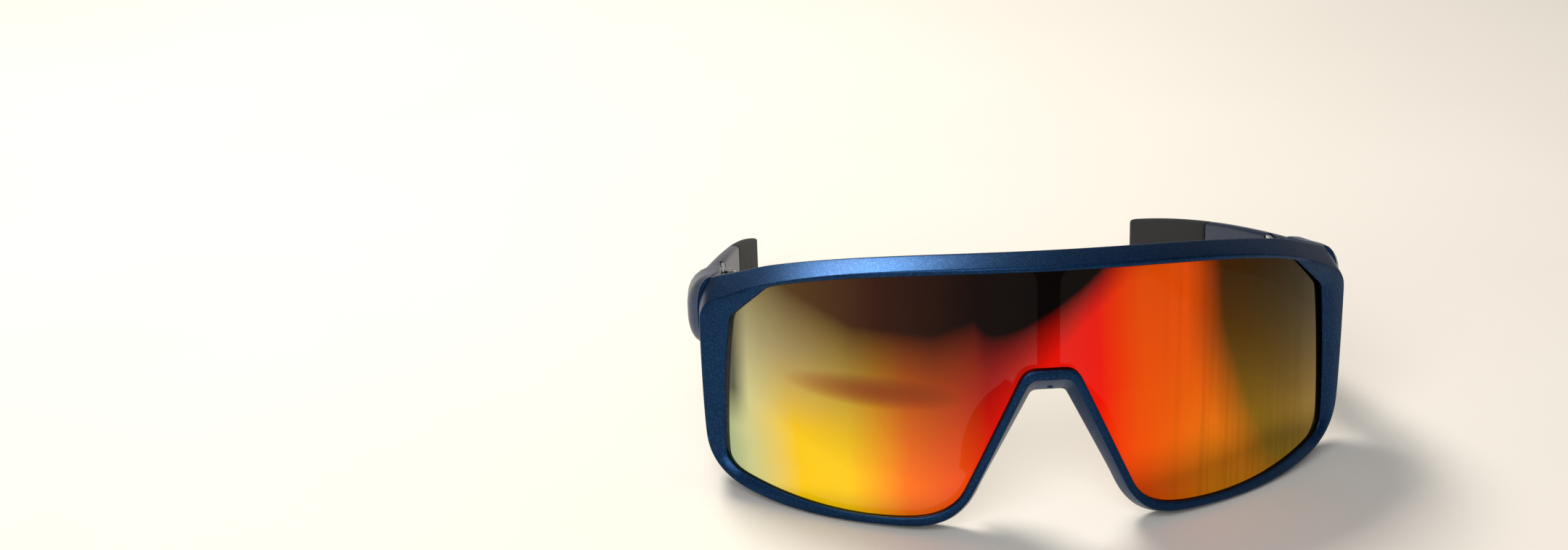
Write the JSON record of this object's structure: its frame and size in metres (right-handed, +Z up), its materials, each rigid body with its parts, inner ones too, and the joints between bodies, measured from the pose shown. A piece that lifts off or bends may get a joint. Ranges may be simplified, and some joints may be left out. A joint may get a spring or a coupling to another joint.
{
  "type": "wraparound sport sunglasses",
  "caption": "Shield sunglasses with a full rim round a curved mirror lens, soft nose pads and folding rubber-tipped temples.",
  "frame": {"origin": "on the resting plane, below the middle of the whole object's bounding box", "axes": "+X to the viewer's right when the lens is seen from the front, +Y from the lens to the temple tips, +Z up; right in a node's name is the +X side"},
  "size_m": [0.1508, 0.1468, 0.0619],
  "materials": {
    "frame_nylon": "satin, fine metallic flake",
    "mirror_lens": "orange-red mirror coating on tinted polycarbonate",
    "pad_rubber": "matte",
    "pad_arm_nylon": "satin",
    "temple_nylon": "satin, fine metallic flake",
    "sleeve_rubber": "matte",
    "hinge_steel": "stamped",
    "screw_steel": "turned"
  },
  "bodies": {
    "front": {"front_frame": "frame_nylon", "shield_lens": "mirror_lens", "nose_pad_right": "pad_rubber", "nose_pad_left": "pad_rubber", "nose_pad_arm_right": "pad_arm_nylon", "nose_pad_arm_left": "pad_arm_nylon", "front_hinge_leaf_right": "hinge_steel", "front_hinge_leaf_left": "hinge_steel", "hinge_screw_right": "screw_steel", "hinge_screw_left": "screw_steel", "front_leaf_screw_right": "screw_steel", "front_leaf_screw_left": "screw_steel"},
    "right_arm": {"temple_right": "temple_nylon", "temple_sleeve_right": "sleeve_rubber", "temple_hinge_leaf_right": "hinge_steel", "temple_leaf_screw_right": "screw_steel"},
    "left_arm": {"temple_left": "temple_nylon", "temple_sleeve_left": "sleeve_rubber", "temple_hinge_leaf_left": "hinge_steel", "temple_leaf_screw_left": "screw_steel"}
  },
  "joints": [
    {"name": "right_temple_fold", "type": "hinge", "parent": "front", "child": "right_arm", "pos_m": [0.0651, -0.01802, 0.0366], "axis": [0, 0.1305, 0.9914], "range_deg": [0, 80]},
    {"name": "left_temple_fold", "type": "hinge", "parent": "front", "child": "left_arm", "pos_m": [-0.0651, -0.01802, 0.0366], "axis": [0, -0.1305, -0.9914], "range_deg": [0, 90]}
  ]
}
